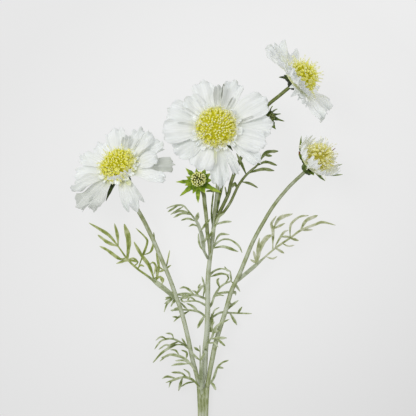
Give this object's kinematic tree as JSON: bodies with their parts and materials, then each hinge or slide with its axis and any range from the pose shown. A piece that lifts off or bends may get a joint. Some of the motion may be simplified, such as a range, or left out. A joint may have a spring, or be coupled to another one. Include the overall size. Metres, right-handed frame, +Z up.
{
  "type": "scabiosa flower",
  "caption": "Cut spray of white scabiosa lying down: open flowers with domed yellow discs, green buds, slim stems and finely cut leaves.",
  "frame": {"origin": "on the resting surface, under the middle of the stalk a few millimetres from its cut end, on the flat spot that it rests on", "axes": "+Y along the stalk from the cut end towards the flowers, +Z up off the surface towards the viewer, +X to the right as the picture shows it"},
  "size_m": [0.1989, 0.3168, 0.0619],
  "materials": {
    "petals": "matte",
    "florets": "matte",
    "calyx": "satin",
    "bud_bracts": "satin",
    "bud_florets": "matte",
    "stems": "satin",
    "leaves": "matte"
  },
  "bodies": {
    "root": {"curled_right_leaf": "leaves", "foot_leaves": "leaves", "foot_left_leaf": "leaves", "foot_right_leaf": "leaves", "front_bud_bracts": "bud_bracts", "front_bud_head": "bud_florets", "front_bud_stem": "stems", "front_leaf": "leaves", "large_flower_calyx": "calyx", "large_flower_disc": "florets", "large_flower_petals": "petals", "large_flower_stem": "stems", "left_flower_calyx": "calyx", "left_flower_disc": "florets", "left_flower_petals": "petals", "left_flower_stem": "stems", "left_stem_leaf": "leaves", "long_left_leaf": "leaves", "lower_left_leaf": "leaves", "lower_right_leaf": "leaves", "middle_right_leaf": "leaves", "right_stem_leaf": "leaves", "short_left_leaf": "leaves", "side_branch": "leaves", "side_bud_bracts": "bud_bracts", "side_bud_head": "bud_florets", "side_bud_stem": "stems", "small_flower_calyx": "calyx", "small_flower_disc": "florets", "small_flower_petals": "petals", "small_flower_stem": "stems", "stalk": "stems", "top_flower_calyx": "calyx", "top_flower_disc": "florets", "top_flower_petals": "petals", "top_flower_stem": "stems", "upper_left_leaf": "leaves", "upper_right_leaf": "leaves"}
  },
  "joints": []
}
